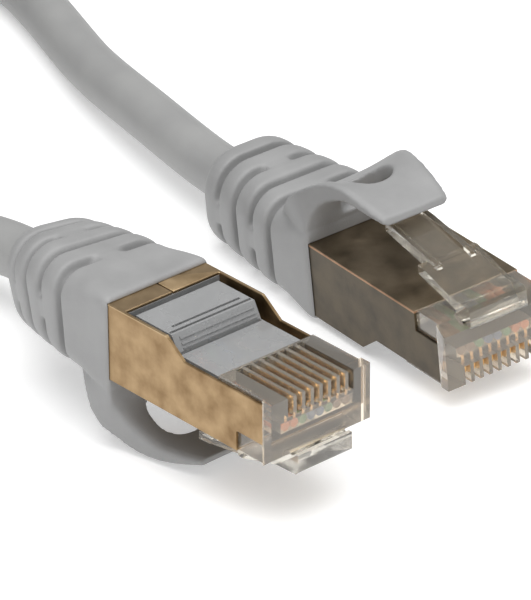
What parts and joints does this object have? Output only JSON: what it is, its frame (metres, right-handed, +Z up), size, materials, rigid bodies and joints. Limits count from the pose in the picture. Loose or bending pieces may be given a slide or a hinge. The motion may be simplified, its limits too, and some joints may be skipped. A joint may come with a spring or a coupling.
{
  "type": "ethernet patch cable",
  "caption": "Shielded patch cable with clear modular plugs, gold shells, latches, snagless hoods and ribbed grey boots, joined by a round grey cable that is coiled and tied.",
  "frame": {"origin": "middle of the footprint of the two plugs with their boots, on the surface they lie on; the free cable is left out of it", "axes": "+X is the way the plugs point, +Z is up from the surface, and +Y is across the plugs, from plug A to plug B"},
  "size_m": [0.1492, 0.0883, 0.0172],
  "materials": {
    "clear_plastic": "clear polycarbonate, moulded, glossy",
    "guide_plastic": "milky clear polycarbonate",
    "gold_shell": "gold-flashed sheet metal, satin",
    "contact_gold": "bright gold plating",
    "orange_wire": "insulated wire",
    "green_wire": "insulated wire",
    "blue_wire": "insulated wire",
    "brown_wire": "insulated wire",
    "foil": "crinkled foil",
    "braid": "woven tinned wire",
    "cable_jacket": "soft satin plastic jacket, fine grain",
    "mould_plastic": "matte",
    "boot_plastic": "soft moulded plastic, satin",
    "tie_strip": "thin black strip, matte"
  },
  "bodies": {
    "root": {"plug_body_a": "clear_plastic", "shield_a": "gold_shell", "contacts_a": "contact_gold", "load_bar_a": "guide_plastic", "orange_pair_a": "orange_wire", "green_pair_a": "green_wire", "blue_pair_a": "blue_wire", "brown_pair_a": "brown_wire", "foil_screen_a": "foil", "braid_sleeve_a": "braid", "jacket_end_a": "cable_jacket", "inner_mould_a": "mould_plastic", "boot_a": "boot_plastic", "plug_body_b": "clear_plastic", "shield_b": "gold_shell", "contacts_b": "contact_gold", "load_bar_b": "guide_plastic", "orange_pair_b": "orange_wire", "green_pair_b": "green_wire", "blue_pair_b": "blue_wire", "brown_pair_b": "brown_wire", "foil_screen_b": "foil", "braid_sleeve_b": "braid", "jacket_end_b": "cable_jacket", "inner_mould_b": "mould_plastic", "boot_b": "boot_plastic", "cable_lead_a": "cable_jacket", "cable_coil": "cable_jacket", "cable_lead_b": "cable_jacket", "coil_tie": "tie_strip"},
    "hood_a": {"hood_a": "boot_plastic"},
    "latch_a": {"latch_a": "clear_plastic"},
    "hood_b": {"hood_b": "boot_plastic"},
    "latch_b": {"latch_b": "clear_plastic"}
  },
  "joints": [
    {"name": "hood_press_a", "type": "hinge", "parent": "root", "child": "hood_a", "pos_m": [0.00074, -0.0157, 0.00532], "axis": [0, -1, 0], "range_deg": [0, 15], "stiffness_Nm_per_rad": 0.25},
    {"name": "latch_press_a", "type": "hinge", "parent": "root", "child": "latch_a", "pos_m": [0.02305, -0.0157, 0.00659], "axis": [0, 1, 0], "range_deg": [0, 12]},
    {"name": "hood_press_b", "type": "hinge", "parent": "root", "child": "hood_b", "pos_m": [-0.0045, 0.01388, 0.01117], "axis": [0.1388, 0.9879, 0.0698], "range_deg": [0, 15], "stiffness_Nm_per_rad": 0.25},
    {"name": "latch_press_b", "type": "hinge", "parent": "root", "child": "latch_b", "pos_m": [0.01756, 0.01092, 0.00913], "axis": [-0.1388, -0.9879, -0.0698], "range_deg": [0, 12]}
  ],
  "couplings": [
    {"joint": "latch_press_a", "follows": "hood_press_a", "ratio": 0.8},
    {"joint": "latch_press_b", "follows": "hood_press_b", "ratio": 0.8}
  ]
}
